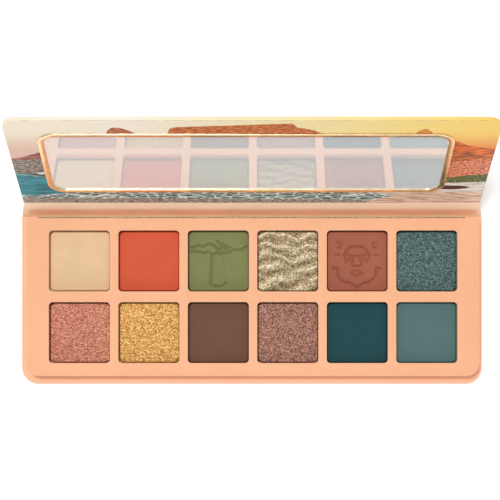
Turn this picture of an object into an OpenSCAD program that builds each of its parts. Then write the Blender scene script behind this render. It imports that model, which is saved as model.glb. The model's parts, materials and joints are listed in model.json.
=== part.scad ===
// Paperboard eyeshadow palette: twelve pressed-powder pans in a wrapped tray, a paper book
// hinge with a stiff spine, and a lid with a printed lining and a gold-rimmed mirror.
// Millimetres, +Z up. X runs across the palette, +Y towards the hinge. The origin is at the
// middle of the base's underside. Drawn open, as it stands on a table.

/* [Base] */
// Width of the base board with its paper
base_w = 170.8; // [168:0.2:176]
// Distance of the base's front edge from the origin
base_front = 31.6; // [31:0.2:36]
// Radius of the base's two front corners
base_corner = 6; // [3:0.5:9]

/* [Tray] */
// Width of the pan tray
tray_w = 166.8; // [165.6:0.2:167]
// Distance of the tray's front face from the origin
tray_front = 28.4; // [27.6:0.1:29.5]
// Distance of the tray's rear face from the origin
tray_rear = 29.7; // [29:0.1:30.2]
// Radius of the tray's two front corners
tray_corner = 4.8; // [3:0.2:6]

/* [Pans] */
// Side of each square window over a pan
window_side = 22.5; // [20:0.1:22.6]
// Spacing of the six columns
pitch_x = 25.6; // [25:0.1:25.8]
// Spacing of the two rows
pitch_y = 26.4; // [25.6:0.1:26.6]

/* [Lid] */
// Width of the lid
lid_w = 167.2; // [166:0.2:169]
// Distance of the closed lid's front edge from the origin
lid_front = 30.8; // [30:0.2:31.6]
// Width over the mirror's gold rim
rim_w = 142; // [120:0.2:146]
// Height over the mirror's gold rim, along the lid
rim_h = 43.6; // [38:0.2:45]
// Outer corner radius of the gold rim
rim_corner = 6.4; // [4:0.2:9]

/* [Hinge] */
// How far the spine leans open from upright, in degrees
spine_open = 25.5; // [0:0.5:90]
// How far the lid is opened against the spine, in degrees
lid_open = 89; // [0:1:90]

/* [Hidden] */
$fn = 48;
eps = 0.01;
paper = 0.2;             // wrapping paper and linings
base_board_t = 1.4;
base_top = base_board_t + 2 * paper;
floor_t = 0.6;
pocket_t = 3.2;
window_board_t = 1.4;
tray_paper = 0.3;        // the heavier coloured paper on the tray
floor_z = base_top + paper;
pocket_z = floor_z + floor_t;
window_board_z = pocket_z + pocket_t;
top_paper_z = window_board_z + window_board_t;
tray_top = top_paper_z + tray_paper;

pan_side = 23.6;
pan_wall = 0.3;
pan_h = 3.0;
pan_corner = 1.8;
pan_play = 0.3;
glue_t = 0.1;
glue_d = 12;
pan_z = pocket_z + glue_t;
powder_h = 1.9;
powder_corner = pan_corner - pan_wall;
window_corner = 1.4;
tray_x = 0.5;            // the tray is glued on this far right of the middle
grid_x = 0.45;           // the pan grid sits this far right of the middle
grid_y = 0.8;            // and this far behind the origin

outer_board_t = 0.4;
inner_board_t = 0.7;
lid_t = outer_board_t + inner_board_t + 2 * paper;
rim_t = 0.5;
rim_band = 2;
lid_gap = 0.2;           // air between the closed rim and the tray
lid_face = tray_top + lid_gap + rim_t;
closed_h = lid_face + lid_t;
lid_corner = 5.6;
lid_edge = 0.6;          // the strip of turned-in wrap seen round the lining
tape_t = 0.1;
glass_t = 0.8;
glass_play = 0.2;
glass_lap = 0.6;         // how far the rim laps the glass
rim_x = -2;              // the mirror sits a little left of the middle
rim_near = 10.4;         // rim's near edge, measured from the hinge fold

spine_board_t = 1.1;
spine_gap = 0.3;
spine_t = spine_board_t + 2 * paper;
board_rear = 30.3;       // rear edge of the base and lid boards
fold_y = board_rear + spine_gap + spine_t;
spine_margin = 0.8;      // free paper between each fold and the spine board
turn_in = 6;             // width of the base wrap turned over onto the top
tray_turn_in = 5;

magnet_d = 5;
magnet_t = 2;
magnet_x = 79.4;
magnet_y = -21.5;
magnet_shift = 0.3;      // the magnets keep clear of the pan pockets on both sides
magnet_play = 0.1;

// ---- outlines ----

// A rectangle whose two front corners are rounded and whose rear corners are square
module front_round(w, front, rear, r) {
    translate([-w / 2, -front + r])
        square([w, front + rear - r]);
    translate([-w / 2 + r, -front])
        square([w - 2 * r, front + rear]);
    for (side = [-1, 1])
        translate([side * (w / 2 - r), -front + r])
            circle(r);
}

// A rectangle with four rounded corners, centred
module round_rect(w, h, r) {
    square([w - 2 * r, h], center = true);
    square([w, h - 2 * r], center = true);
    for (sx = [-1, 1])
        for (sy = [-1, 1])
            translate([sx * (w / 2 - r), sy * (h / 2 - r)])
                circle(r);
}

// The tray's outline, drawn in by an inset
module tray_outline(inset) {
    translate([tray_x, 0])
        front_round(tray_w - 2 * inset, tray_front - inset, tray_rear - inset,
            max(tray_corner - inset, 2));
}

module slab(z, t) {
    translate([0, 0, z])
        linear_extrude(t)
            children();
}

function column_x(c) = grid_x + (c - 2.5) * pitch_x;
function row_y(r) = grid_y + (r - 0.5) * pitch_y;

module at_pan(c, r) {
    translate([column_x(c), row_y(r)])
        children();
}

module every_pan() {
    for (c = [0:5])
        for (r = [0:1])
            at_pan(c, r)
                children();
}

// ---- poses: the spine and the lid are drawn closed, then opened about their folds ----

module fold(y, z, angle) {
    translate([0, y, z])
        rotate([-angle, 0, 0])
            translate([0, -y, -z])
                children();
}

module spine_pose() {
    fold(fold_y, 0, spine_open)
        children();
}

module lid_pose() {
    spine_pose()
        fold(fold_y, closed_h, lid_open)
            children();
}

// ---- base ----

module base_wrap() {
    color("#F4B890")
    difference() {
        slab(0, base_top)
            front_round(base_w, base_front, board_rear, base_corner);
        slab(paper, base_board_t)
            front_round(base_w - 2 * paper, base_front - paper, board_rear + 1,
                base_corner - paper);
        slab(base_top - paper - eps, paper + 1)
            front_round(base_w - 2 * turn_in, base_front - turn_in, board_rear + 1, 2);
    }
}

module base_board() {
    color("#B9A98E")
    slab(paper, base_board_t)
        front_round(base_w - 2 * paper, base_front - paper, board_rear, base_corner - paper);
}

module tray_glue_sheet() {
    color("#EFE9D8")
    slab(base_top - paper, 2 * paper)
        tray_outline(tray_turn_in + 0.5);
}

// ---- tray ----

module tray_floor_board() {
    color("#B9A98E")
    slab(floor_z, floor_t)
        tray_outline(tray_paper);
}

module magnet_spots(d) {
    for (side = [-1, 1])
        translate([magnet_shift + side * magnet_x, magnet_y])
            circle(d / 2);
}

module tray_pocket_board() {
    color("#B9A98E")
    difference() {
        slab(pocket_z, pocket_t)
            tray_outline(tray_paper);
        slab(pocket_z - 1, pocket_t + 2)
            every_pan()
                round_rect(pan_side + 2 * pan_play, pan_side + 2 * pan_play,
                    pan_corner + pan_play);
        slab(window_board_z - magnet_t, magnet_t + 1)
            magnet_spots(magnet_d + 2 * magnet_play);
    }
}

module tray_window_board() {
    color("#B9A98E")
    difference() {
        slab(window_board_z, window_board_t)
            tray_outline(tray_paper);
        slab(window_board_z - 1, window_board_t + 2)
            every_pan()
                round_rect(window_side + 2 * tray_paper, window_side + 2 * tray_paper,
                    window_corner + tray_paper);
    }
}

module tray_wrap() {
    color("#FDBB90")
    difference() {
        slab(base_top, tray_top - base_top)
            tray_outline(0);
        // room for the three boards
        slab(floor_z, window_board_z - floor_z)
            tray_outline(tray_paper);
        slab(window_board_z - eps, window_board_t + eps)
            difference() {
                tray_outline(tray_paper);
                every_pan()
                    round_rect(window_side + 2 * tray_paper, window_side + 2 * tray_paper,
                        window_corner + tray_paper);
            }
        // the twelve windows
        slab(window_board_z - 1, tray_top)
            every_pan()
                round_rect(window_side, window_side, window_corner);
        // the opening underneath, inside the turned-under edge
        slab(base_top - 1, paper + 1 + eps)
            tray_outline(tray_turn_in);
    }
}

module tray_magnets() {
    color("#A9ADB2")
    slab(window_board_z - magnet_t, magnet_t)
        magnet_spots(magnet_d);
}

module pan_glue_dots() {
    color("#EFE9D8")
    slab(pocket_z, glue_t)
        every_pan()
            circle(glue_d / 2);
}

module pan(c, r) {
    color("#C9CCD0")
    at_pan(c, r)
        difference() {
            slab(pan_z, pan_h)
                round_rect(pan_side, pan_side, pan_corner);
            slab(pan_z + pan_wall, pan_h)
                round_rect(pan_side - 2 * pan_wall, pan_side - 2 * pan_wall, powder_corner);
        }
}

module powder(c, r, shade) {
    color(shade)
    at_pan(c, r)
        slab(pan_z + pan_wall, powder_h)
            round_rect(pan_side - 2 * pan_wall, pan_side - 2 * pan_wall, powder_corner);
}

// ---- hinge and spine ----

// A thin strip across the hinge whose section is given as points in Y and Z
module strip(w, points) {
    translate([w / 2, 0, 0])
        rotate([90, 0, -90])
            linear_extrude(w)
                polygon([for (p = points) [-p[0], p[1]]]);
}

// Where a point drawn on the closed spine, or lid, ends up when opened
function turned(p, y, z, a) = [
    y + (p[0] - y) * cos(a) + (p[1] - z) * sin(a),
    z - (p[0] - y) * sin(a) + (p[1] - z) * cos(a)];
function on_spine(p) = turned(p, fold_y, 0, spine_open);
function on_lid(p) = on_spine(turned(p, fold_y, closed_h, lid_open));

// The spine narrows from the base's width at the lower fold to the lid's at the upper one
function spine_w(z) = base_w + (lid_w - base_w) * z / closed_h;

module lower_hinge_paper() {
    color("#F4B890")
    strip(spine_w(spine_margin), [[board_rear, 0], [fold_y, 0],
        on_spine([fold_y, spine_margin]),
        on_spine([fold_y - paper, spine_margin]),
        on_spine([fold_y - paper, paper]) + [-0.04, -0.02],
        [board_rear, paper]]);
}

module lower_hinge_lining() {
    color("#E8B58F")
    strip(spine_w(spine_margin), [[board_rear, base_top - paper], on_spine([fold_y - spine_t, spine_margin]),
        on_spine([fold_y - spine_t + paper, spine_margin]),
        [board_rear, base_top - 2 * paper]]);
}

module spine_panel(y_low, y_high) {
    low = spine_margin;
    high = closed_h - spine_margin;
    translate([0, y_high, 0])
        rotate([90, 0, 0])
            linear_extrude(y_high - y_low)
                polygon([[-spine_w(low) / 2, low], [spine_w(low) / 2, low],
                    [spine_w(high) / 2, high], [-spine_w(high) / 2, high]]);
}

module spine_wrap() {
    color("#F4B890")
    spine_pose()
        spine_panel(fold_y - paper, fold_y);
}

module spine_board() {
    color("#B9A98E")
    spine_pose()
        spine_panel(fold_y - paper - spine_board_t, fold_y - paper);
}

module spine_lining() {
    color("#E8B58F")
    spine_pose()
        spine_panel(fold_y - spine_t, fold_y - spine_t + paper);
}

module upper_hinge_paper() {
    color("#F4B890")
    strip(lid_w, [on_spine([fold_y, closed_h - spine_margin]),
        on_lid([board_rear, closed_h]),
        on_lid([board_rear, closed_h - paper]),
        on_spine([fold_y - paper, closed_h - spine_margin])]);
}

module upper_hinge_lining() {
    color("#E9C9A4")
    strip(lid_w, [on_spine([fold_y - spine_t, closed_h - spine_margin]),
        on_spine([fold_y - spine_t + paper, closed_h - spine_margin]),
        on_lid([board_rear, lid_face + paper]),
        on_lid([board_rear, lid_face])]);
}

// ---- lid ----

module lid_outline(inset) {
    front_round(lid_w - 2 * inset, lid_front - inset, board_rear, lid_corner - inset);
}

module at_mirror() {
    translate([rim_x, fold_y - rim_near - rim_h / 2])
        children();
}

module glass_outline(grow) {
    at_mirror()
        round_rect(rim_w - 2 * rim_band + 2 * (glass_lap + grow),
            rim_h - 2 * rim_band + 2 * (glass_lap + grow),
            rim_corner - rim_band + glass_lap + grow);
}

module lid_wrap() {
    color("#F4B890")
    lid_pose()
        difference() {
            slab(lid_face, lid_t)
                lid_outline(0);
            slab(lid_face + paper, lid_t - 2 * paper)
                front_round(lid_w - 2 * paper, lid_front - paper, board_rear + 1,
                    lid_corner - paper);
            slab(lid_face - 1, paper + 1 + eps)
                front_round(lid_w - 2 * (paper + lid_edge), lid_front - paper - lid_edge,
                    board_rear + 1, lid_corner - paper - lid_edge);
        }
}

module lid_outer_board() {
    color("#B9A98E")
    lid_pose()
        slab(closed_h - paper - outer_board_t, outer_board_t)
            lid_outline(paper);
}

module lid_inner_board() {
    color("#B9A98E")
    lid_pose()
        difference() {
            slab(lid_face + paper, inner_board_t)
                lid_outline(paper);
            slab(lid_face - 1, inner_board_t + 2)
                glass_outline(glass_play);
            slab(lid_face - 1, inner_board_t + 2)
                magnet_spots(magnet_d + 2 * magnet_play);
        }
}

module lid_lining() {
    color("#E9C9A4")
    lid_pose()
        difference() {
            slab(lid_face, paper)
                lid_outline(paper + lid_edge);
            slab(lid_face - 1, paper + 2)
                glass_outline(glass_play);
        }
}

module lid_magnets() {
    color("#A9ADB2")
    lid_pose()
        slab(lid_face + paper, inner_board_t)
            magnet_spots(magnet_d);
}

module mirror_tape() {
    color("#F2F0EA")
    lid_pose()
        slab(lid_face + glass_t, tape_t)
            at_mirror()
                round_rect(rim_w - 16, rim_h - 14, 3);
}

module mirror() {
    color("#E6E9EC")
    lid_pose()
        slab(lid_face, glass_t)
            glass_outline(0);
}

module mirror_rim() {
    color("#D8AE62")
    lid_pose()
        slab(lid_face - rim_t, rim_t)
            difference() {
                at_mirror()
                    round_rect(rim_w, rim_h, rim_corner);
                at_mirror()
                    round_rect(rim_w - 2 * rim_band, rim_h - 2 * rim_band,
                        rim_corner - rim_band);
            }
}

// ---- nodes ----

base_wrap();
base_board();
tray_glue_sheet();
tray_floor_board();
tray_pocket_board();
tray_window_board();
tray_wrap();
tray_magnets();
pan_glue_dots();
pan(0, 1);  // pan_rear_1
pan(1, 1);  // pan_rear_2
pan(2, 1);  // pan_rear_3
pan(3, 1);  // pan_rear_4
pan(4, 1);  // pan_rear_5
pan(5, 1);  // pan_rear_6
pan(0, 0);  // pan_front_1
pan(1, 0);  // pan_front_2
pan(2, 0);  // pan_front_3
pan(3, 0);  // pan_front_4
pan(4, 0);  // pan_front_5
pan(5, 0);  // pan_front_6
powder(0, 1, "#E9C7A0");  // powder_beige
powder(1, 1, "#DA6045");  // powder_orange
powder(2, 1, "#85895A");  // powder_olive
powder(3, 1, "#B5A06C");  // powder_dune_gold
powder(4, 1, "#AE6A55");  // powder_terracotta
powder(5, 1, "#4E7A78");  // powder_teal_glitter
powder(0, 0, "#CB7E6E");  // powder_rose
powder(1, 0, "#D9AE5E");  // powder_gold
powder(2, 0, "#785542");  // powder_brown
powder(3, 0, "#A87868");  // powder_mauve
powder(4, 0, "#28505A");  // powder_deep_teal
powder(5, 0, "#5A7878");  // powder_grey_teal
lower_hinge_paper();
lower_hinge_lining();
spine_wrap();
spine_board();
spine_lining();
upper_hinge_paper();
upper_hinge_lining();
lid_wrap();
lid_outer_board();
lid_inner_board();
lid_lining();
lid_magnets();
mirror_tape();
mirror();
mirror_rim();
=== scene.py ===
import json
import math
import random

import bpy
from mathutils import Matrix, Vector, geometry


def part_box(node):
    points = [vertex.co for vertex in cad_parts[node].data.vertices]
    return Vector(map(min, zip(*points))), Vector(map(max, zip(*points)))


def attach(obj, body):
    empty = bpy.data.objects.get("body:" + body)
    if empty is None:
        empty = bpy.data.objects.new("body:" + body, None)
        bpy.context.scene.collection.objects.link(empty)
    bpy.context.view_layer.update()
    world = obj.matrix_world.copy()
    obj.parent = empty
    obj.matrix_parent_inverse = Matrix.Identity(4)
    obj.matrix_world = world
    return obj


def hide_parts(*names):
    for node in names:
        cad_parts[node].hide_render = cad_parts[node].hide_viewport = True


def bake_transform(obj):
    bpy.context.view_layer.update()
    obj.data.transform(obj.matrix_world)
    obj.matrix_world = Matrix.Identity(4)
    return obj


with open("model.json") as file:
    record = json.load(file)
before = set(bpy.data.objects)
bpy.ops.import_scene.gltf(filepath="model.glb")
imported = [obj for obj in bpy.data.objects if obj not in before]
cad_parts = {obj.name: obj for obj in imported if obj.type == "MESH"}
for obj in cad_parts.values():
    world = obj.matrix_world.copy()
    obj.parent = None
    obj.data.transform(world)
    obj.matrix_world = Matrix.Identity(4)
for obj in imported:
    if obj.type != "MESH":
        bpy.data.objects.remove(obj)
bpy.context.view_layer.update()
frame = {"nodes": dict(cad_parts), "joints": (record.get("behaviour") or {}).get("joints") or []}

mm = 0.001
bpy.ops.object.select_all(action="DESELECT")


# small helpers

def linear(hexColour):
    channels = [int(hexColour[i:i + 2], 16) / 255 for i in (1, 3, 5)]
    return [c / 12.92 if c <= 0.04045 else ((c + 0.055) / 1.055) ** 2.4 for c in channels] + [1]


def addNode(tree, kind, inputs=None, stops=None, curve=None, **settings):
    node = tree.nodes.new("ShaderNode" + kind)
    for key, value in settings.items():
        setattr(node, key, value)
    for socket, value in (inputs or {}).items():
        if isinstance(value, bpy.types.NodeSocket):
            tree.links.new(value, node.inputs[socket])
        else:
            node.inputs[socket].default_value = value
    if stops:  # colour ramp stops as (position, hex)
        ramp = node.color_ramp
        while len(ramp.elements) > 1:
            ramp.elements.remove(ramp.elements[-1])
        ramp.elements[0].position = stops[0][0]
        ramp.elements[0].color = linear(stops[0][1])
        for position, colour in stops[1:]:
            ramp.elements.new(position).color = linear(colour)
    if curve:  # float curve points, straight between them
        points = node.mapping.curves[0].points
        points[0].location, points[1].location = curve[0], curve[-1]
        for place in curve[1:-1]:
            points.new(*place)
        for point in points:
            point.handle_type = "VECTOR"
        node.mapping.update()
    return node


def newMaterial(name, **shaderValues):
    material = bpy.data.materials.new(name)
    material.use_nodes = True
    tree = material.node_tree
    shader = tree.nodes["Principled BSDF"]
    for socket, value in shaderValues.items():
        shader.inputs[socket.replace("_", " ")].default_value = value
    return material, tree, shader


def objectPoint(tree):
    return addNode(tree, "TexCoord").outputs["Object"]


def dress(piece, material):
    piece.data.materials.clear()
    piece.data.materials.append(material)


def onlySelect(piece):
    bpy.ops.object.select_all(action="DESELECT")
    piece.select_set(True)
    bpy.context.view_layer.objects.active = piece


def applyModifier(piece, kind, **settings):
    onlySelect(piece)
    modifier = piece.modifiers.new(kind.lower(), kind)
    for key, value in settings.items():
        setattr(modifier, key, value)
    bpy.ops.object.modifier_apply(modifier=modifier.name)


# where the folds are

joints = {j["name"]: j for j in frame["joints"]}
spineFoldAt = Vector(joints["spine_fold"]["pos_m"])
lidFoldAt = Vector(joints["lid_fold"]["pos_m"])
spineLean = math.radians(-joints["spine_fold"]["range_deg"][0])
lidLean = spineLean - math.radians(joints["lid_fold"]["range_deg"][0])
alongLid = Vector((0, -math.cos(lidLean), math.sin(lidLean)))  # from the fold to the free edge
outOfLid = Vector((0, -math.sin(lidLean), -math.cos(lidLean)))  # the way the mirror faces
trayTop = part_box("tray_wrap")[1].z
lidFace = outOfLid.dot(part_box("mirror_tape")[0] - lidFoldAt)


# camera, light and floor

studio = {
    "cameraAt": (-0.68 * mm, 18.04 * mm, 601 * mm),
    "lens": 116.05,
    "floorSize": 6.0,
    "surround": 0.40,  # brightness of the white room
    "softboxes": {
        "key": {"at": (-0.20, 0.40, 1.50), "size": (0.30, 0.30), "power": 12.2},
        "front": {"at": (0.10, -1.60, 0.85), "size": (1.6, 1.0), "power": 9.5},
        "rearStrip": {"at": (0.0, 1.35, 1.15), "size": (2.0, 0.30), "power": 3.0},
    },
}


def makeStudio():
    scene = bpy.context.scene
    bpy.ops.object.camera_add(location=studio["cameraAt"], rotation=(0, 0, 0))
    camera = bpy.context.object
    camera.name = "camera"
    camera.data.lens = studio["lens"]
    camera.data.sensor_width = 36
    camera.data.clip_start = 0.01
    scene.camera = camera

    bpy.ops.mesh.primitive_plane_add(size=studio["floorSize"], location=(0, 0, 0))
    floor = bpy.context.object
    floor.name = "floor"
    # opal acrylic light table: matt, white, faintly glowing, with a very slight mottle
    material, tree, shader = newMaterial("opalLightTable", Roughness=0.9, Emission_Strength=0.2)
    shader.inputs["Emission Color"].default_value = linear("#FFFFFF")
    mottle = addNode(tree, "TexNoise", {"Vector": objectPoint(tree), "Scale": 1 / (3 * mm), "Detail": 2.0})
    tone = addNode(tree, "ValToRGB", {"Fac": mottle.outputs["Fac"]}, stops=[(0.3, "#FBFBFB"), (0.7, "#FEFEFE")])
    tree.links.new(tone.outputs["Color"], shader.inputs["Base Color"])
    dress(floor, material)

    world = bpy.data.worlds.new("softStudio")
    scene.world = world
    world.use_nodes = True
    background = world.node_tree.nodes["Background"]
    background.inputs["Color"].default_value = linear("#FFFFFF")
    background.inputs["Strength"].default_value = studio["surround"]

    for name, lamp in studio["softboxes"].items():
        place = Vector(lamp["at"])
        bpy.ops.object.light_add(type="AREA", location=place, rotation=(-place).to_track_quat("-Z", "Y").to_euler())
        light = bpy.context.object
        light.name = name + "Softbox"
        light.data.shape = "RECTANGLE"
        light.data.size, light.data.size_y = lamp["size"]
        light.data.energy = lamp["power"]
    scene.view_settings.view_transform = "Standard"
    print("studio ready")


makeStudio()


# paper, board and small materials

paper = {
    "trayPeach": "#F9B88D",
    "trayShade": "#F4B287",
    # the cover peach is a little paler than the tray peach: painted light that brightens the tray's shadow on the base
    # margin
    "coverPeach": "#FFC4A0",
    "coverShade": "#F8BC98",
    "liningTan": "#FFE4C6",
    "liningShade": "#FADCBC",
    # the gutter lining is the spine lining's paper made darker: painted shade for the groove behind the tray
    "gutterPaintedShadeTan": "#D4B58F",
    "gutterPaintedShadeMottle": "#CCAD88",
    "fibre": 0.35,  # mm, length of the mottling left by the paper's fibres
    "grain": 0.09,  # mm, the matte coat's grain, drawn coarse enough to show
}


def paperMaterial(name, colour, shadeColour, foldWearAndLightColour=None):
    # coated art paper with a matte film: an even colour, a faint fibre mottle, a soft wide sheen,
    # and paler folds over the board's edges: partly crease wear, partly a painted highlight on the upper roundings
    material, tree, shader = newMaterial(name, Roughness=0.62, IOR=1.45)
    point = objectPoint(tree)
    mottle = addNode(tree, "TexNoise", {"Vector": point, "Scale": 1 / (paper["fibre"] * mm), "Detail": 3.0})
    cloud = addNode(tree, "TexNoise", {"Vector": point, "Scale": 1 / (14 * mm), "Detail": 2.0})
    blend = addNode(tree, "Math", {0: mottle.outputs["Fac"], 1: cloud.outputs["Fac"]}, operation="ADD")
    tone = addNode(tree, "ValToRGB", {"Fac": addNode(tree, "Math", {0: blend.outputs[0], 1: 0.5},
                                                    operation="MULTIPLY").outputs[0]},
                   stops=[(0.35, shadeColour), (0.62, colour)])
    colourOut = tone.outputs["Color"]
    if foldWearAndLightColour:
        colourOut = foldWearAndPaintedLight(tree, point, colourOut, foldWearAndLightColour)
    tree.links.new(colourOut, shader.inputs["Base Color"])
    grain = addNode(tree, "TexNoise", {"Vector": point, "Scale": 1 / (paper["grain"] * mm), "Detail": 2.0})
    bump = addNode(tree, "Bump", {"Height": grain.outputs["Fac"], "Strength": 0.12, "Distance": 0.02 * mm})
    tree.links.new(bump.outputs["Normal"], shader.inputs["Normal"])
    return material


# lays the fold colour in patches on the marked roundings: crease wear together with painted light, a paler painted
# highlight on the peach papers and darker painted shade on the lid's edges
def foldWearAndPaintedLight(tree, point, colour, foldWearAndLightColour):
    fold = addNode(tree, "Attribute", attribute_name="foldWearAndLightMask")
    patches = addNode(tree, "TexNoise", {"Vector": point, "Scale": 1 / (2.5 * mm), "Detail": 3.0})
    wornAndLit = addNode(tree, "MapRange", {"Value": patches.outputs["Fac"], "From Min": 0.25, "From Max": 0.6})
    amount = addNode(tree, "Math", {0: fold.outputs["Fac"], 1: wornAndLit.outputs[0]}, operation="MULTIPLY")
    return addNode(tree, "Mix", {0: amount.outputs[0], 6: colour, 7: linear(foldWearAndLightColour)}, data_type="RGBA").outputs[2]


def boardMaterial():
    # greyboard: recycled pulp pressed flat, brown-grey with darker and lighter flecks of old paper
    material, tree, shader = newMaterial("recycledGreyboard", Roughness=0.92)
    point = objectPoint(tree)
    pulp = addNode(tree, "TexNoise", {"Vector": point, "Scale": 1 / (0.8 * mm), "Detail": 5.0})
    tone = addNode(tree, "ValToRGB", {"Fac": pulp.outputs["Fac"]},
                   stops=[(0.3, "#8E7F68"), (0.5, "#B3A288"), (0.72, "#CDBFA6")])
    tree.links.new(tone.outputs["Color"], shader.inputs["Base Color"])
    bump = addNode(tree, "Bump", {"Height": pulp.outputs["Fac"], "Strength": 0.3, "Distance": 0.05 * mm})
    tree.links.new(bump.outputs["Normal"], shader.inputs["Normal"])
    return material


def brushedMetal(name, colour, roughness, lineLength, lineWidth):
    # rolled or plated metal: fine lines along the rolling direction spread the highlight
    material, tree, shader = newMaterial(name, Metallic=1.0)
    stretched = addNode(tree, "Mapping", {"Vector": objectPoint(tree), "Scale": (1 / (lineLength * mm), 1 / (lineWidth * mm), 1 / (lineWidth * mm))})
    lines = addNode(tree, "TexNoise", {"Vector": stretched.outputs[0], "Scale": 1.0, "Detail": 2.0})
    rough = addNode(tree, "MapRange", {"Value": lines.outputs["Fac"], "To Min": roughness * 0.7, "To Max": roughness * 1.4})
    tree.links.new(rough.outputs[0], shader.inputs["Roughness"])
    tone = addNode(tree, "ValToRGB", {"Fac": lines.outputs["Fac"]}, stops=[(0.2, colour[0]), (0.8, colour[1])])
    tree.links.new(tone.outputs["Color"], shader.inputs["Base Color"])
    return material


def softPlastic(name, low, high, size, roughness):
    # dried glue or foam tape: cloudy, with small lumps
    material, tree, shader = newMaterial(name, Roughness=roughness)
    lumps = addNode(tree, "TexNoise", {"Vector": objectPoint(tree), "Scale": 1 / (size * mm), "Detail": 3.0})
    tone = addNode(tree, "ValToRGB", {"Fac": lumps.outputs["Fac"]}, stops=[(0.35, low), (0.65, high)])
    tree.links.new(tone.outputs["Color"], shader.inputs["Base Color"])
    bump = addNode(tree, "Bump", {"Height": lumps.outputs["Fac"], "Strength": 0.3, "Distance": 0.05 * mm})
    tree.links.new(bump.outputs["Normal"], shader.inputs["Normal"])
    return material


# the paler fold colours are crease wear plus a painted highlight on the upward-facing roundings
trayPaper = paperMaterial("matteCoatedTrayPaper", paper["trayPeach"], paper["trayShade"], "#FFD9B8")
coverPaper = paperMaterial("matteCoatedCoverPaper", paper["coverPeach"], paper["coverShade"], "#FFE2C8")
tanPaper = paperMaterial("uncoatedHingeLining", paper["liningTan"], paper["liningShade"])
# painted shade: a darker copy of the hinge lining paper for the shadowed gutter
gutterPaintedShadePaper = paperMaterial("uncoatedGutterLiningPaintedShade", paper["gutterPaintedShadeTan"], paper["gutterPaintedShadeMottle"])
greyboard = boardMaterial()
tinplate = brushedMetal("rolledTinplate", ("#B9BDC2", "#D5D8DC"), 0.3, 6, 0.15)
nickel = brushedMetal("nickelPlatedMagnet", ("#A4A7AA", "#C4C7CA"), 0.22, 1.0, 0.4)
driedGlue = softPlastic("driedPasteGlue", "#E2D9BF", "#F4EFDF", 0.9, 0.45)
foamTape = softPlastic("foamMountingTape", "#E4E2DA", "#F7F6F2", 0.4, 0.8)

cadFinish = {
    "base_board": greyboard, "tray_floor_board": greyboard, "tray_pocket_board": greyboard,
    "tray_window_board": greyboard, "spine_board": greyboard, "lid_outer_board": greyboard,
    "lid_inner_board": greyboard, "tray_glue_sheet": driedGlue, "pan_glue_dots": driedGlue,
    "tray_magnets": nickel, "lid_magnets": nickel, "mirror_tape": foamTape,
    "spine_wrap": coverPaper, "spine_lining": tanPaper,
}
for row in ("rear", "front"):
    for place in range(1, 7):
        cadFinish[f"pan_{row}_{place}"] = tinplate
for node, material in cadFinish.items():
    dress(frame["nodes"][node], material)
print("boards, pans, glue and magnets dressed")


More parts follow.
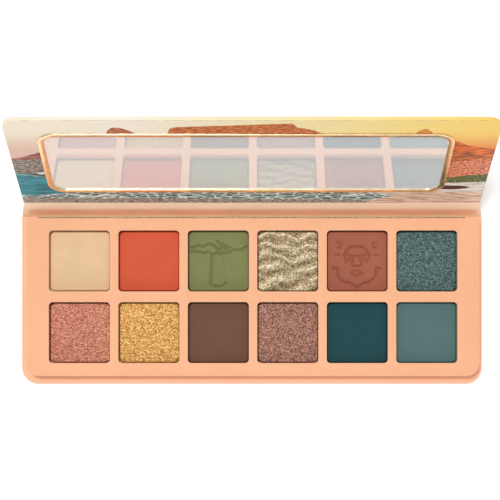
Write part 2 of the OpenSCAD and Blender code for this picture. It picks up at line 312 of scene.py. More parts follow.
# printed lining
# each stretch of land is everything below its outline, given as (mm across, mm up from the fold)
land = [
    {"name": "smallPeak", "outline": [(-84, 0), (-50.5, 0), (-49.6, 52), (-48.6, 56), (-46.8, 58.2), (-43.6, 57.6), (-39.8, 54.6), (-38, 52), (-37.5, 0), (84, 0)],
     "tones": ("#7E3A22", "#B4582E", "#D88450"), "grain": (1.6, 0.7), "rough": 0.4},
    {"name": "longMesa", "outline": [(-84, 0), (-29.6, 0), (-28.8, 53), (-27.6, 57.4), (-25.8, 58.4), (-18, 58.9), (-6, 59.6), (6, 60.4), (13.0, 60.9), (14.2, 60.4), (14.8, 58.2), (17, 57.6), (20, 56.6), (23, 54.6), (25, 52), (25.5, 0), (84, 0)],
     "tones": ("#9A4416", "#C8662A", "#DE8A4C"), "grain": (2.0, 0.6), "rough": 0.3},
    {"name": "rightPeak", "outline": [(-84, 0), (53.5, 0), (54.5, 53), (56.4, 56.2), (58.4, 57.4), (60.4, 55.2), (62, 52), (62.5, 0), (84, 0)],
     "tones": ("#C07420", "#DC9030", "#EEA848"), "grain": (2.2, 1.0), "rough": 0.2},
    {"name": "rightSlope", "outline": [(-84, 0), (58, 0), (60, 53), (66, 50.6), (70, 48.2), (74, 45.4), (78, 44.2), (84, 42.6)],
     "tones": ("#98460A", "#DC6418", "#F07C2C"), "grain": (4.5, 1.2), "rough": 0.6},
    {"name": "slopeShadow", "outline": [(-84, 0), (59, 0), (60, 47), (66, 44.6), (72, 40.4), (78, 38.4), (84, 36)],
     "tones": ("#844008", "#B85C14", "#D07428"), "grain": (4.0, 1.4), "rough": 0.8},
    {"name": "leftHill", "outline": [(-84, 35.6), (-79, 37.2), (-74, 40), (-70, 41.6), (-60, 45), (-50, 40), (-40, 0), (84, 0)],
     "tones": ("#7C4038", "#A05A4C", "#B87868"), "grain": (4.0, 0.9), "rough": 0.3},
    {"name": "rightRocks", "outline": [(-84, 0), (59, 0), (60, 31.8), (66, 32.6), (74, 34.4), (84, 36.4)],
     "tones": ("#8E2E18", "#E07448", "#FBB48C"), "grain": (0.9, 0.5), "rough": 1.0},
    {"name": "leftRocks", "outline": [(-84, 34.6), (-76, 35.4), (-66, 35.2), (-60, 36), (-40, 10), (-39, 0), (84, 0)],
     "tones": ("#2E2824", "#7A6F63", "#C4B9A9"), "grain": (1.5, 0.45), "rough": 0.6},
    {"name": "whiteStreak", "outline": [(-84, 0), (-77.2, 0), (-76.6, 24.9), (-74, 25.5), (-71.2, 25.1), (-70.6, 0), (84, 0)],
     "tones": ("#A8A296", "#E8E4DC", "#F4F2EC"), "grain": (2.0, 0.6), "rough": 0.2},
    {"name": "darkShore", "outline": [(-84, 24.6), (-78, 24.7), (-74, 23.9), (-68, 22.6), (-60, 20), (-50, 12), (-40, 0), (84, 0)],
     "tones": ("#1E2A2C", "#3C4A48", "#6E7468"), "grain": (1.4, 0.5), "rough": 0.5},
    {"name": "greenBelt", "outline": [(-84, 0), (50, 0), (51, 19), (62, 20.4), (70, 21.6), (78, 23.4), (84, 24.2)],
     "tones": ("#1C260A", "#46581C", "#868C48"), "grain": (1.0, 0.6), "rough": 1.0},
    {"name": "foamLine", "outline": [(-84, 24.4), (-79, 23.7), (-75, 22.4), (-70, 20.3), (-60, 16), (-50, 12.4), (20, 12.2), (40, 10.8), (46, 0), (84, 0)],
     "tones": ("#4C8C8C", "#7CB0AC", "#A8CCC4"), "grain": (3.0, 0.8), "rough": 0.3},
    {"name": "sea", "outline": [(-84, 23.9), (-79, 23.1), (-75, 21.8), (-70, 19.6), (-60, 15.4), (-50, 12), (20, 11.8), (40, 10.4), (46, 0), (84, 0)],
     "tones": ("#046478", "#0C8494", "#1C9AA6"), "grain": (6.0, 1.2), "rough": 0.1},
    {"name": "paleSand", "outline": [(-84, 0), (24, 0), (26, 11.8), (44, 12.6), (51, 16.4), (62, 17.0), (72, 17.4), (84, 18.2)],
     "tones": ("#C9BCB0", "#E2D8CE", "#F0E8E0"), "grain": (6.0, 1.2), "rough": 0.5},
    {"name": "shoreRocks", "outline": [(-84, 7.6), (-76, 8.0), (-70, 8.6), (-62, 10.4), (-50, 12), (0, 12), (34, 11.4), (46, 9.0), (54, 5), (58, 0), (84, 0)],
     "tones": ("#1A3634", "#4E7C7A", "#8FA8A2"), "grain": (1.8, 0.7), "rough": 0.6, "stones": (4.6, 1.7, "#E6ECE4")},
    {"name": "foamEdge", "outline": [(-84, 5.2), (-60, 5.0), (-30, 4.6), (0, 4.2), (30, 3.8), (50, 2.4), (84, 0.6)],
     "tones": ("#5E564E", "#93897C", "#C4BAAC"), "grain": (1.8, 0.45), "rough": 1.2},
    {"name": "warmSand", "outline": [(-84, 0), (40, 0), (46, 4.5), (54, 8.2), (62, 10.2), (72, 10.4), (84, 9.2)],
     "tones": ("#B8907A", "#DCB8A0", "#F2D8C0"), "grain": (7.0, 0.8), "rough": 0.4},
]
pool = {"middle": (70.5, 13.6), "half": (7.5, 1.5), "colour": "#43060A"}


def liningMaterial(name, foldWearAndLightColour=None):
    # four-colour print under a satin varnish: painted shapes, soft sky, a low even gloss
    material, tree, shader = newMaterial(name)
    point = objectPoint(tree)
    fromFold = addNode(tree, "VectorMath", {0: point, 1: tuple(lidFoldAt)}, operation="SUBTRACT")
    up = addNode(tree, "VectorMath", {0: fromFold.outputs[0], 1: tuple(alongLid)}, operation="DOT_PRODUCT")
    upMm = addNode(tree, "Math", {0: up.outputs["Value"], 1: 1 / mm}, operation="MULTIPLY").outputs[0]
    across = addNode(tree, "SeparateXYZ", {0: fromFold.outputs[0]})
    acrossMm = addNode(tree, "Math", {0: across.outputs[0], 1: 1 / mm}, operation="MULTIPLY").outputs[0]
    acrossShare = addNode(tree, "MapRange", {"Value": acrossMm, "From Min": -84.0, "From Max": 84.0}).outputs[0]
    flat = addNode(tree, "CombineXYZ", {0: acrossMm, 1: upMm}).outputs[0]

    # the sky warms from cream at the left to gold at the right, and reddens low down
    high = addNode(tree, "ValToRGB", {"Fac": acrossShare}, stops=skyStops["high"])
    low = addNode(tree, "ValToRGB", {"Fac": acrossShare}, stops=skyStops["low"])
    height = addNode(tree, "MapRange", {"Value": upMm, "From Min": 40.0, "From Max": 57.0}, interpolation_type="SMOOTHSTEP")
    colour = addNode(tree, "Mix", {0: height.outputs[0], 6: low.outputs[0], 7: high.outputs[0]}, data_type="RGBA").outputs[2]

    wear = addNode(tree, "TexNoise", {"Vector": flat, "Scale": 0.9, "Detail": 4.0}).outputs["Fac"]
    wander = addNode(tree, "Math", {0: wear, 1: 0.5}, operation="SUBTRACT").outputs[0]
    for part in land:
        points = [((x + 84) / 168, y / 64) for x, y in part["outline"]]
        line = addNode(tree, "FloatCurve", {"Value": acrossShare}, curve=points)
        top = addNode(tree, "Math", {0: line.outputs[0], 1: 64.0}, operation="MULTIPLY").outputs[0]
        ragged = addNode(tree, "Math", {0: wander, 1: part["rough"] * 2, 2: top}, operation="MULTIPLY_ADD").outputs[0]
        depth = addNode(tree, "Math", {0: ragged, 1: upMm}, operation="SUBTRACT").outputs[0]
        mask = addNode(tree, "MapRange", {"Value": depth, "From Min": -0.05, "From Max": 0.2}).outputs[0]
        stretched = addNode(tree, "Mapping", {"Vector": flat, "Scale": (1 / part["grain"][0], 1 / part["grain"][1], 1)})
        grain = addNode(tree, "TexNoise", {"Vector": stretched.outputs[0], "Scale": 1.0, "Detail": 4.0, "Distortion": 0.4})
        tone = addNode(tree, "ValToRGB", {"Fac": grain.outputs["Fac"]},
                       stops=[(0.38, part["tones"][0]), (0.5, part["tones"][1]), (0.62, part["tones"][2])]).outputs[0]
        if "stones" in part:  # boulders with pale water between them
            long, short, foam = part["stones"]
            squeezed = addNode(tree, "Mapping", {"Vector": flat, "Scale": (1 / long, 1 / short, 1)})
            cells = addNode(tree, "TexVoronoi", {"Vector": squeezed.outputs[0], "Scale": 1.0}, feature="DISTANCE_TO_EDGE")
            seam = addNode(tree, "MapRange", {"Value": cells.outputs["Distance"], "From Min": 0.10, "From Max": 0.02})
            tone = addNode(tree, "Mix", {0: seam.outputs[0], 6: tone, 7: linear(foam)}, data_type="RGBA").outputs[2]
        colour = addNode(tree, "Mix", {0: mask, 6: colour, 7: tone}, data_type="RGBA").outputs[2]
    # a dark rock pool on the pale sand
    away = addNode(tree, "VectorMath", {0: flat, 1: (pool["middle"][0], pool["middle"][1], 0)}, operation="SUBTRACT")
    squash = addNode(tree, "VectorMath", {0: away.outputs[0], 1: (1 / pool["half"][0], 1 / pool["half"][1], 1)}, operation="MULTIPLY")
    ring = addNode(tree, "VectorMath", {0: squash.outputs[0]}, operation="LENGTH")
    inPool = addNode(tree, "MapRange", {"Value": ring.outputs["Value"], "From Min": 1.08, "From Max": 0.92})
    colour = addNode(tree, "Mix", {0: inPool.outputs[0], 6: colour, 7: linear(pool["colour"])}, data_type="RGBA").outputs[2]
    # the print stops just short of the fold, where plain paper goes on over the spine
    unprinted = addNode(tree, "MapRange", {"Value": upMm, "From Min": 1.2, "From Max": 0.9})
    colour = addNode(tree, "Mix", {0: unprinted.outputs[0], 6: colour, 7: linear(paper["liningTan"])}, data_type="RGBA").outputs[2]
    if foldWearAndLightColour:
        colour = foldWearAndPaintedLight(tree, point, colour, foldWearAndLightColour)
    tree.links.new(colour, shader.inputs["Base Color"])
    gloss = addNode(tree, "MapRange", {"Value": wear, "To Min": 0.42, "To Max": 0.56})
    tree.links.new(gloss.outputs[0], shader.inputs["Roughness"])
    fibre = addNode(tree, "TexNoise", {"Vector": point, "Scale": 1 / (0.4 * mm), "Detail": 2.0})
    bump = addNode(tree, "Bump", {"Height": fibre.outputs["Fac"], "Strength": 0.08, "Distance": 0.02 * mm})
    tree.links.new(bump.outputs["Normal"], shader.inputs["Normal"])
    return material


skyStops = {
    "high": [(0, "#F6E8D0"), (0.12, "#F8EDD6"), (0.25, "#F7EDDA"), (0.5, "#F5E6B6"), (0.72, "#FBE298"), (0.9, "#FEDA78"), (1.0, "#FED268")],
    "low": [(0, "#E2BCA8"), (0.25, "#E8C8B4"), (0.6, "#F2B878"), (0.86, "#F4A048"), (1.0, "#EE8440")],
}
printedPaper = liningMaterial("varnishedPrintedLining")
# the darker fold colour on the lid's edges is painted shade on the roundings, with some wear
printedCover = liningMaterial("varnishedPrintedCover", "#A89C86")
dress(frame["nodes"]["lid_lining"], printedPaper)
print("lining printed")



# wrapped boards

def copyOfNode(node, name):
    mesh = frame["nodes"][node].data.copy()
    piece = bpy.data.objects.new(name, mesh)
    bpy.context.scene.collection.objects.link(piece)
    onlySelect(piece)
    bpy.ops.object.mode_set(mode="EDIT")
    bpy.ops.mesh.select_all(action="SELECT")
    bpy.ops.mesh.remove_doubles(threshold=0.001 * mm)
    bpy.ops.mesh.dissolve_limited(angle_limit=math.radians(0.5))
    bpy.ops.object.mode_set(mode="OBJECT")
    return piece


def sharpEdges(piece, wanted):
    # folded edges whose two ends both pass the test
    mesh = piece.data
    faceNormals = {}
    for polygon in mesh.polygons:
        for key in polygon.edge_keys:
            faceNormals.setdefault(key, []).append(polygon.normal)
    chosen = []
    for edge in mesh.edges:
        normals = faceNormals.get(tuple(sorted(edge.vertices)), [])
        if len(normals) == 2 and normals[0].angle(normals[1]) > math.radians(50):
            if all(wanted(mesh.vertices[v].co) for v in edge.vertices):
                chosen.append(edge.index)
    return chosen


def roundEdges(piece, width, segments, wanted):
    onlySelect(piece)
    bpy.ops.object.mode_set(mode="EDIT")
    bpy.ops.mesh.select_mode(type="EDGE")
    bpy.ops.mesh.select_all(action="DESELECT")
    bpy.ops.object.mode_set(mode="OBJECT")
    for index in sharpEdges(piece, wanted):
        piece.data.edges[index].select = True
    bpy.ops.object.mode_set(mode="EDIT")
    bpy.ops.mesh.bevel(offset=width * mm, segments=segments, profile=0.5, affect="EDGES", clamp_overlap=True)
    bpy.ops.object.mode_set(mode="OBJECT")
    bpy.ops.object.shade_smooth_by_angle(angle=math.radians(40))


def markFoldWearAndLight(piece, towards, span):
    # 1 on the rounded folds whose faces lie between the two flat directions, 0 elsewhere: where the fold colour goes,
    # crease wear together with painted light
    foldWearAndLightMask = piece.data.attributes.new("foldWearAndLightMask", "FLOAT", "CORNER")
    for polygon in piece.data.polygons:
        lean = abs(polygon.normal.dot(towards))
        value = 1.0 if span[0] < lean < span[1] else 0.0
        for loop in polygon.loop_indices:
            foldWearAndLightMask.data[loop].value = value


# the lean span picks the roundings that take the fold colour; on the tray and base cover these are the upper,
# lit-facing ones, so the paler colour there is painted highlight as well as wear
wraps = {
    "base_wrap": {"name": "baseCover", "body": "base", "edge": 0.4, "wornAndLit": (0.5, 0.98), "slot": "cover_paper"},
    "tray_wrap": {"name": "trayCover", "body": "base", "edge": 0.28, "wornAndLit": (0.4, 0.98), "slot": "tray_paper"},
    "lid_wrap": {"name": "lidCover", "body": "lid", "edge": 0.4, "wornAndLit": (0.05, 0.98), "slot": "printed_lining"},
}


def makeWraps():
    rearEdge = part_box("base_wrap")[1].y
    upright = Vector((0, 0, 1))

    def baseOuter(point):
        inside = abs(point.x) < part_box("base_board")[1].x and point.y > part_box("base_board")[0].y
        return not inside and point.y < rearEdge - 0.01 * mm

    def trayOuter(point):
        return point.z > trayTop - 0.01 * mm

    def lidOuter(point):
        across = abs(point.x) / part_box("lid_inner_board")[1].x
        reach = (point - lidFoldAt).dot(alongLid)
        return across > 1.0005 or reach > lidReach - 0.15 * mm

    lidReach = max((v.co - lidFoldAt).dot(alongLid) for v in frame["nodes"]["lid_wrap"].data.vertices)
    tests = {"base_wrap": (baseOuter, upright), "tray_wrap": (trayOuter, upright), "lid_wrap": (lidOuter, outOfLid)}
    for node, wrap in wraps.items():
        piece = copyOfNode(node, wrap["name"])
        test, towards = tests[node]
        roundEdges(piece, wrap["edge"], 4, test)
        markFoldWearAndLight(piece, towards, wrap["wornAndLit"])
        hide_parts(node)
        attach(piece, wrap["body"])
        wrapPieces[node] = piece
    print("wraps made")


wrapPieces = {}
makeWraps()
dress(wrapPieces["base_wrap"], coverPaper)
dress(wrapPieces["tray_wrap"], trayPaper)
dress(wrapPieces["lid_wrap"], printedCover)


# hinge papers

hingePaper = {"thick": 0.2, "steps": 12}


def bentStrip(name, path, widths, thickness, side, material):
    # path is a list of (y, z); the strip's half width goes from the first value to the second
    bpy.ops.mesh.primitive_grid_add(x_subdivisions=24, y_subdivisions=len(path) - 1, size=2)
    piece = bpy.context.object
    piece.name = name
    for vertex in piece.data.vertices:
        share = (vertex.co.y + 1) / 2
        step = round(share * (len(path) - 1))
        half = widths[0] + (widths[1] - widths[0]) * share
        vertex.co = (half * vertex.co.x, path[step][0], path[step][1])
    applyModifier(piece, "SOLIDIFY", thickness=thickness, offset=side)
    onlySelect(piece)
    bpy.ops.object.mode_set(mode="EDIT")
    bpy.ops.mesh.select_all(action="SELECT")
    bpy.ops.mesh.normals_make_consistent(inside=False)
    bpy.ops.object.mode_set(mode="OBJECT")
    bpy.ops.object.shade_smooth_by_angle(angle=math.radians(50))
    dress(piece, material)
    return piece


def bendBetween(start, corner, end, steps):
    # a smooth bend from start to end that leans on the corner
    points = []
    for i in range(steps + 1):
        t = i / steps
        points.append(tuple((1 - t) ** 2 * start[k] + 2 * t * (1 - t) * corner[k] + t * t * end[k]
                            for k in (0, 1)))
    return points


def reachOf(node, origin, direction):
    values = [(v.co - origin).dot(direction) for v in frame["nodes"][node].data.vertices]
    return min(values), max(values)


def makeHinges():
    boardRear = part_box("base_board")[1].y
    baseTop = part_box("base_wrap")[1].z
    thick = hingePaper["thick"] * mm
    upSpine = (lidFoldAt - spineFoldAt).normalized()
    intoSpine = Vector((0, -upSpine.z, upSpine.y))  # from the spine's outer face to its inner face
    lowReach, highReach = reachOf("spine_lining", spineFoldAt, upSpine)
    innerDepth = reachOf("spine_lining", spineFoldAt, intoSpine)[1]
    liningStart = reachOf("lid_lining", lidFoldAt, alongLid)[0]
    innerLid = reachOf("lid_lining", lidFoldAt, outOfLid)[1]

    def yz(point):
        return (point.y, point.z)

    spineOutLow = spineFoldAt + upSpine * lowReach
    spineOutHigh = spineFoldAt + upSpine * highReach
    spineInLow = spineOutLow + intoSpine * innerDepth
    spineInHigh = spineOutHigh + intoSpine * innerDepth
    lidOut = lidFoldAt + alongLid * liningStart
    lidIn = lidOut + outOfLid * innerLid
    baseOut = Vector((0, boardRear, 0))
    baseIn = Vector((0, boardRear, baseTop - thick / 2))
    steps = hingePaper["steps"]
    sagLow = (boardRear + 0.25 * mm, baseTop - 0.1 * mm)
    sagHigh = yz((spineInHigh + lidIn) / 2 - outOfLid * 0.1 * mm)
    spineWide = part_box("spine_wrap")[1].x
    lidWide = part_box("lid_wrap")[1].x
    strips = [
        ("lowerHingePaper", "lower_hinge_paper", "cover_paper", coverPaper,
         bendBetween(yz(baseOut), yz(spineFoldAt), yz(spineOutLow), steps), spineWide, "base", "spine", baseOut, spineOutLow),
        # the gutter strip takes the darker paper, painted shade for the groove between tray and spine
        ("lowerHingeLining", "lower_hinge_lining", "hinge_lining_paper", gutterPaintedShadePaper,
         bendBetween(yz(baseIn), sagLow, yz(spineInLow), steps), spineWide, "base", "spine", baseIn, spineInLow),
        ("upperHingePaper", "upper_hinge_paper", "cover_paper", coverPaper,
         bendBetween(yz(spineOutHigh), yz(lidFoldAt), yz(lidOut), steps), lidWide, "spine", "lid", spineOutHigh, lidOut),
        ("upperHingeLining", "upper_hinge_lining", "printed_lining", printedPaper,
         bendBetween(yz(spineInHigh), sagHigh, yz(lidIn), steps), lidWide, "spine", "lid", spineInHigh, lidIn),
    ]
    for name, node, slot, material, path, half, first, second, start, end in strips:
        piece = bentStrip(name, path, (half, half), thick, -1.0 if "Lining" in name else 1.0, material)
        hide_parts(node)
        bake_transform(piece)
    print("hinge papers made")


makeHinges()


# mirror and its gold rim

rimLook = {"edge": 0.22, "light": "#F8E4BE", "deep": "#EACB98"}
mirrorLook = {"metallic": 0.36, "cloud": ("#F6F9FB", "#FBFDFE")}


def makeMirror():
    # silvered sheet under a thin milky film: a clear image at low contrast behind a cool haze
    material, tree, shader = newMaterial("silveredMirrorUnderFilm", Metallic=mirrorLook["metallic"], Roughness=0.03)
    cloud = addNode(tree, "TexNoise", {"Vector": objectPoint(tree), "Scale": 1 / (30 * mm), "Detail": 1.0})
    tone = addNode(tree, "ValToRGB", {"Fac": cloud.outputs["Fac"]}, stops=[(0.3, mirrorLook["cloud"][0]), (0.7, mirrorLook["cloud"][1])])
    tree.links.new(tone.outputs["Color"], shader.inputs["Base Color"])
    dress(frame["nodes"]["mirror"], material)

    gold, tree, shader = newMaterial("platedGoldRim", Metallic=1.0)
    noise = addNode(tree, "TexNoise", {"Vector": objectPoint(tree), "Scale": 1 / (2.5 * mm), "Detail": 3.0})
    tone = addNode(tree, "ValToRGB", {"Fac": noise.outputs["Fac"]},
                   stops=[(0.3, rimLook["deep"]), (0.7, rimLook["light"])])
    tree.links.new(tone.outputs["Color"], shader.inputs["Base Color"])
    rough = addNode(tree, "MapRange", {"Value": noise.outputs["Fac"], "To Min": 0.14, "To Max": 0.3})
    tree.links.new(rough.outputs[0], shader.inputs["Roughness"])
    rim = copyOfNode("mirror_rim", "goldRim")
    applyModifier(rim, "BEVEL", width=rimLook["edge"] * mm, segments=4, limit_method="ANGLE",
                  angle_limit=math.radians(50), use_clamp_overlap=True)
    bpy.ops.object.shade_smooth_by_angle(angle=math.radians(40))
    dress(rim, gold)
    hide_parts("mirror_rim")
    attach(rim, "lid")
    print("mirror made")


makeMirror()


# pressed powders

def matte(colour, **more):
    return dict(dict(finish="matte", colour=colour, grid=96), **more)


def sparkle(dark, mid, light, **more):
    return dict(dict(finish="sparkle", ramp=(dark, mid, light), grid=120, cell=0.36), **more)


powders = {
    "powder_beige": matte("#E6C49C"),
    "powder_orange": matte("#D65E42"),
    "powder_olive": matte("#828656", grid=180, relief="tree"),
    "powder_dune_gold": sparkle("#675330", "#A48F66", "#D5C7A8", grid=180, relief="dunes"),
    "powder_terracotta": matte("#A8644E", grid=180, relief="lion"),
    "powder_teal_glitter": sparkle("#163230", "#365551", "#6C8782"),
    "powder_rose": sparkle("#8E4632", "#B36951", "#D5967A"),
    "powder_gold": sparkle("#905819", "#C88F41", "#EAC479"),
    "powder_brown": matte("#745140"),
    "powder_mauve": sparkle("#512F25", "#8B5C4A", "#BF8D76"),
    "powder_deep_teal": matte("#234A50"),
    "powder_grey_teal": matte("#567474"),
}


def powderMaterial(name, look):
    if look["finish"] == "matte":
        # finely milled pigment pressed hard: chalky, no gloss, a faint press grain and cloudiness
        material, tree, shader = newMaterial(name, Roughness=0.95, Specular_IOR_Level=0.2)
        point = objectPoint(tree)
        grain = addNode(tree, "TexNoise", {"Vector": point, "Scale": 1 / (0.3 * mm), "Detail": 4.0})
        cloud = addNode(tree, "TexNoise", {"Vector": point, "Scale": 1 / (7 * mm), "Detail": 2.0})
        both = addNode(tree, "Math", {0: grain.outputs["Fac"], 1: cloud.outputs["Fac"]}, operation="ADD")
        amount = addNode(tree, "MapRange", {"Value": both.outputs[0], "From Min": 0.6, "From Max": 1.4, "To Min": 0.93, "To Max": 1.06})
        colour = addNode(tree, "VectorMath", {0: linear(look["colour"])[:3], "Scale": amount.outputs[0]}, operation="SCALE")
        tree.links.new(colour.outputs[0], shader.inputs["Base Color"])
        bump = addNode(tree, "Bump", {"Height": grain.outputs["Fac"], "Strength": 0.25, "Distance": 0.05 * mm})
        tree.links.new(bump.outputs["Normal"], shader.inputs["Normal"])
        return material
    # mica flakes bound in a cream: each flake's flash or dark turn is painted into its colour as a random tone per
    # flake, partly the flakes' own colour and partly painted glints, with a bump per flake for their tilt
    material, tree, shader = newMaterial(name, Metallic=0.35, Roughness=0.42)
    point = objectPoint(tree)
    cell = look["cell"]
    flakes = addNode(tree, "TexVoronoi", {"Vector": point, "Scale": 1 / (cell * mm), "Randomness": 1.0})
    fine = addNode(tree, "TexVoronoi", {"Vector": point, "Scale": 1 / (cell * 0.5 * mm), "Randomness": 1.0})
    split = addNode(tree, "SeparateColor", {0: flakes.outputs["Color"]})
    splitFine = addNode(tree, "SeparateColor", {0: fine.outputs["Color"]})
    value = addNode(tree, "Mix", {0: 0.3, 2: split.outputs[0], 3: splitFine.outputs[0]}, data_type="FLOAT").outputs[0]
    if look.get("relief") == "dunes":  # painted sheen: the colour lightens along the ripple crests
        height = addNode(tree, "Attribute", attribute_name="ripple")
        value = addNode(tree, "Math", {0: height.outputs["Fac"], 1: value}, operation="ADD").outputs[0]
        value = addNode(tree, "Math", {0: value, 1: 0.5}, operation="SUBTRACT").outputs[0]
    tone = addNode(tree, "ValToRGB", {"Fac": value},
                   stops=[(0.15, look["ramp"][0]), (0.5, look["ramp"][1]), (0.85, look["ramp"][2])])
    tree.links.new(tone.outputs["Color"], shader.inputs["Base Color"])
    bump = addNode(tree, "Bump", {"Height": split.outputs[1], "Strength": 0.5, "Distance": 0.08 * mm})
    tree.links.new(bump.outputs["Normal"], shader.inputs["Normal"])
    return material


def ridge(point, lines, width):
    # 1 on a line, falling smoothly to 0 at the given distance from it
    best = width
    for a, b in lines:
        near, share = geometry.intersect_point_line(point, a, b)
        near = a if share < 0 else b if share > 1 else near
        best = min(best, (point - near).length)
    t = 1 - best / width
    return t * t * (3 - 2 * t)


def linesThrough(*strokes):
    lines = []
    for places in strokes:
        points = [Vector((x, y, 0)) for x, y in places]
        lines += list(zip(points, points[1:]))
    return lines


def mirrored(*strokes):
    return [*strokes, *([(-x, y) for x, y in places] for places in strokes)]


# drawings are in millimetres from the middle of the pan, +y towards the hinge
reliefs = {
    "tree": {"strokes": [
        {"lines": linesThrough(
            [(-10.2, 5.1), (-9.1, 5.0), (-7.7, 5.6), (-6.8, 5.9), (-5.8, 5.3), (-4.6, 5.9), (-3.5, 6.3), (-2.4, 6.1), (-1.4, 5.6), (-0.7, 4.8), (0.8, 4.1)],
            [(-0.3, 7.3), (1.2, 6.5), (2.6, 5.8), (4.2, 5.1), (5.0, 4.4), (6.9, 4.1), (8.3, 4.1), (9.6, 4.8), (10.5, 5.2)],
            [(-10.0, 3.4), (-8.6, 3.7), (-6.8, 3.3), (-5.3, 2.9), (-3.9, 3.4), (-2.8, 3.0), (-1.6, 2.4), (-0.4, 3.4), (0.8, 2.5), (2.2, 3.1), (3.6, 2.7), (5.0, 3.9)],
            [(0.3, 6.5), (1.6, 5.0), (3.9, 4.4)], [(2.2, 3.1), (3.2, 4.0), (4.6, 4.4)]),
         "width": 0.68, "height": -0.75},
        {"lines": linesThrough([(-2.3, 2.3), (-2.5, -2.0), (-2.8, -6.0), (-2.9, -8.2), (-2.2, -9.2), (-0.2, -9.7), (1.7, -9.3), (2.7, -8.3)]),
         "width": 0.68, "height": -0.65},
        {"lines": linesThrough([(2.1, 2.2), (2.3, -2.0), (2.5, -6.0), (2.7, -8.3)]), "width": 0.6, "height": -0.22},
        {"lines": linesThrough([(-9, 4.4), (-4, 4.6), (0, 3.6), (4, 3.6)], [(5.5, 5.0), (9.5, 5.6)], [(-0.2, 1.5), (-0.2, -8.0)]),
         "width": 2.2, "height": 0.16}]},
    "lion": {"strokes": [
        {"lines": linesThrough(*mirrored(
            [(4.7, 2.2), (3.8, 3.7), (2.8, 5.0), (2.1, 5.3), (0, 5.3)],  # crown of the head
            [(8.8, -2.8), (7.6, -2.4), (7.0, -2.9), (7.1, -5.0), (6.2, -6.6), (4.2, -8.2), (3.2, -7.9), (1.9, -8.7), (0, -10.1)])),  # mane
         "width": 0.68, "height": -0.75},
        {"lines": linesThrough(*mirrored(
            [(3.2, 2.4), (2.2, 2.0), (1.0, 1.9), (0, 1.9)],  # brow
            [(4.5, 1.8), (4.3, 0.9)], [(4.1, 0.4), (3.8, -0.5)], [(3.2, 0.9), (1.8, 0.9)], [(2.9, 0.2), (2.1, 0.3)],  # cheek and eye
            [(1.4, 0.9), (1.5, -0.2), (2.1, -0.8), (1.4, -1.7), (0, -1.8)],  # nose
            [(0, -3.4), (1.1, -3.9), (2.1, -4.7)], [(0, -5.4), (1.1, -5.2)])),  # mouth and chin
         "width": 0.6, "height": -0.6},
        {"lines": linesThrough(*mirrored(
            [(7.4, 7.0), (6.2, 7.0)], [(7.0, 5.1), (6.1, 4.8)], [(7.9, 2.4), (6.5, 2.3)], [(5.7, 6.9), (6.0, 5.9)])),
         "width": 0.6, "height": -0.55},
        {"lines": linesThrough([(0, 4.0), (0, -1.0)], [(-1.2, -3.0), (1.2, -3.0)]), "width": 1.8, "height": 0.2}]},
}


def duneHeight(x, y):
    # wind ripples: long crests that drift and fork across the pan
    drift = 1.1 * math.sin(x * 0.34 + 0.6) + 0.5 * math.sin(x * 0.83 - y * 0.2)
    wave = math.sin((y + drift) * 1.55 + 0.6 * math.sin(x * 0.4 + y * 0.5))
    slant = math.sin((y - x * 0.42 + drift * 0.5) * 1.0 + 1.4)
    low = max(0.0, min(1.0, (-y - 1.0) / 6))  # the slanting crests lie low in the pan
    return wave * (1 - 0.55 * low) + slant * (0.35 + 0.65 * low)


def reliefAt(look, x, y, rng):
    kind = look.get("relief")
    height = 0.0
    if kind in reliefs:
        for stroke in reliefs[kind]["strokes"]:
            height += stroke["height"] * ridge(Vector((x, y, 0)), stroke["lines"], stroke["width"])
    if kind == "dunes":
        height += 0.17 * duneHeight(x, y)
    if look["finish"] == "sparkle":
        height += rng.uniform(-0.05, 0.05)
    return height * mm


cake = {
    "corner": 1.5,  # mm, the pan's inside corner
    "gap": (0.50, 0.32, 0.36, 0.66),  # mm of sloping edge seen inside the window: left, right, front, rear
    "slope": 0.32,  # mm over which the edge falls away
    "fall": 1.25,  # mm that it falls
}


def edgeFall(x, y, halfWindow):
    # how far the cake's edge has dropped at a point, in mm
    left, right, front, rear = cake["gap"]
    middleX, middleY = (left - right) / 2, (front - rear) / 2
    halfX = halfWindow - (left + right) / 2 - cake["corner"]
    halfY = halfWindow - (front + rear) / 2 - cake["corner"]
    outX, outY = max(abs(x - middleX) - halfX, 0), max(abs(y - middleY) - halfY, 0)
    share = (math.hypot(outX, outY) - cake["corner"]) / cake["slope"]
    share = max(0.0, min(1.0, share))
    return cake["fall"] * share * share * (3 - 2 * share)


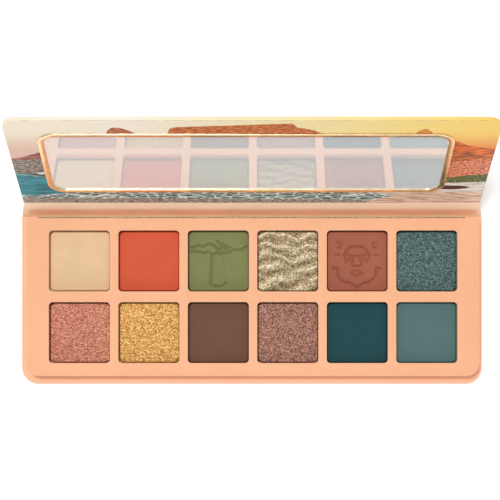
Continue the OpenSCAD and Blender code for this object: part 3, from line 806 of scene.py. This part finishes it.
def makePowder(node, look):
    low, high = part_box(node)
    middle = (low + high) / 2
    half = (high.x - low.x) / 2
    count = look["grid"]
    bpy.ops.mesh.primitive_grid_add(x_subdivisions=count, y_subdivisions=count, size=2 * half,
                                    location=(middle.x, middle.y, low.z))
    pressed = bpy.context.object
    pressed.name = node.replace("powder_", "pressedPowder_")
    bpy.ops.object.transform_apply(location=True, rotation=True, scale=True)
    share = cake["corner"] * mm / half
    for vertex in pressed.data.vertices:  # the grid is drawn into the pan's rounded corners
        x, y = vertex.co.x - middle.x, vertex.co.y - middle.y
        ring = max(abs(x), abs(y))
        if ring < 1e-9:
            continue
        u, v = abs(x) / ring - (1 - share), abs(y) / ring - (1 - share)
        if u > 0 and v > 0:
            long = math.hypot(u, v)
            x = math.copysign(ring * (1 - share + u * share / long), x)
            y = math.copysign(ring * (1 - share + v * share / long), y)
            vertex.co.x, vertex.co.y = middle.x + x, middle.y + y
    onlySelect(pressed)
    bpy.ops.object.mode_set(mode="EDIT")
    bpy.ops.mesh.select_all(action="SELECT")
    bpy.ops.mesh.extrude_region_move(TRANSFORM_OT_translate={"value": (0, 0, high.z - low.z)})
    bpy.ops.object.mode_set(mode="OBJECT")
    rng = random.Random(node)
    halfWindow = 11.25
    for vertex in pressed.data.vertices:
        if vertex.co.z > middle.z:
            x, y = vertex.co.x - middle.x, vertex.co.y - middle.y
            fall = edgeFall(x / mm, y / mm, halfWindow)
            detail = reliefAt(look, x / mm, y / mm, rng) if fall < cake["fall"] else 0
            vertex.co.z += detail * (1 - fall / cake["fall"]) - fall * mm
    bpy.ops.object.mode_set(mode="EDIT")
    bpy.ops.mesh.select_mode(type="FACE")
    bpy.ops.mesh.select_all(action="DESELECT")
    bpy.ops.object.mode_set(mode="OBJECT")
    for polygon in pressed.data.polygons:
        polygon.select = polygon.center.z < low.z + 0.01 * mm
    bpy.ops.object.mode_set(mode="EDIT")
    bpy.ops.mesh.dissolve_faces()
    bpy.ops.mesh.select_all(action="SELECT")
    bpy.ops.mesh.normals_make_consistent(inside=False)
    bpy.ops.object.mode_set(mode="OBJECT")
    bpy.ops.object.shade_smooth_by_angle(angle=math.radians(60))
    if look.get("relief") == "dunes":
        ripple = pressed.data.attributes.new("ripple", "FLOAT", "POINT")
        for vertex, value in zip(pressed.data.vertices, ripple.data):
            crest = duneHeight((vertex.co.x - middle.x) / mm, (vertex.co.y - middle.y) / mm)
            value.value = 0.5 + 0.16 * crest
    dress(pressed, powderMaterial(node.replace("powder_", "pressed_"), look))
    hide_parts(node)
    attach(pressed, "base")


for node, look in powders.items():
    makePowder(node, look)
print("powders pressed")
